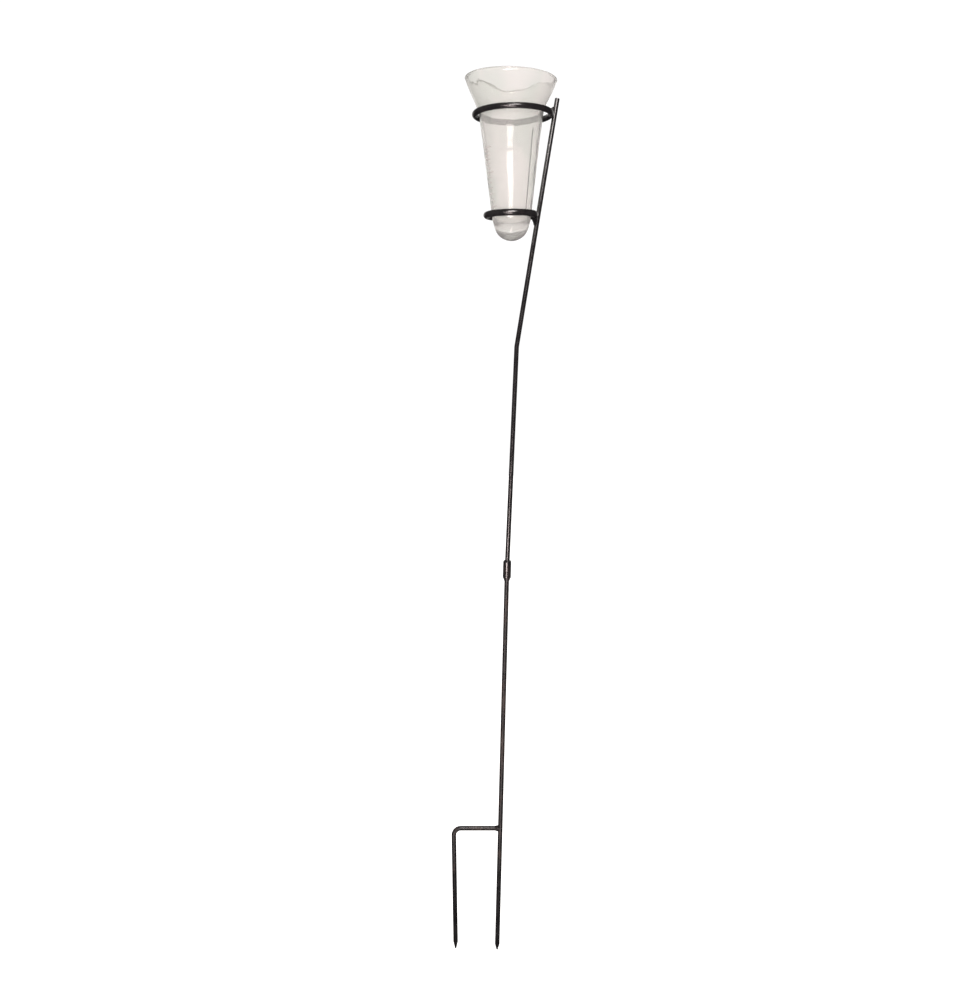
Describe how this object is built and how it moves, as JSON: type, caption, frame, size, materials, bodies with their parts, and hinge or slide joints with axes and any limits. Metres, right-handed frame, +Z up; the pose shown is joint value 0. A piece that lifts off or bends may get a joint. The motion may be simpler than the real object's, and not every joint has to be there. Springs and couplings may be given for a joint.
{
  "type": "rain gauge",
  "caption": "Flared clear glass rain gauge in two wire rings on a bent dark steel rod, plugged into a forked ground stake.",
  "frame": {"origin": "on the axis of the main ground point, level with the underside of the fork's crossbar", "axes": "+Z up along the lower rod, +X away from the side prong, -Y towards the side of the rods that the glass hangs on"},
  "size_m": [0.1261, 0.121, 1.1866],
  "materials": {
    "stake_steel": "satin black paint, slightly uneven, worn on the fork",
    "painted_weld": "satin black paint over rippled weld",
    "clear_glass": "clear pressed glass with a thick round bottom",
    "scale_enamel": "thin fired enamel strokes"
  },
  "bodies": {
    "lower_section": {"lower_rod": "stake_steel", "coupling_sleeve": "stake_steel", "sleeve_weld": "painted_weld", "side_prong": "stake_steel", "side_prong_weld": "painted_weld"},
    "upper_section": {"upper_rod": "stake_steel", "upper_ring": "stake_steel", "lower_ring": "stake_steel", "upper_ring_weld": "painted_weld", "lower_ring_weld": "painted_weld"},
    "gauge": {"gauge_glass": "clear_glass", "scale_major_marks": "scale_enamel", "scale_minor_marks": "scale_enamel"}
  },
  "joints": [
    {"name": "section_pull", "type": "slide", "parent": "lower_section", "child": "upper_section", "axis": [0.0171, 0, 0.9999], "range_m": [0, 0.025]},
    {"name": "gauge_lift", "type": "slide", "parent": "upper_section", "child": "gauge", "axis": [-0.0305, 0, 0.9995], "range_m": [0, 0.215]}
  ]
}
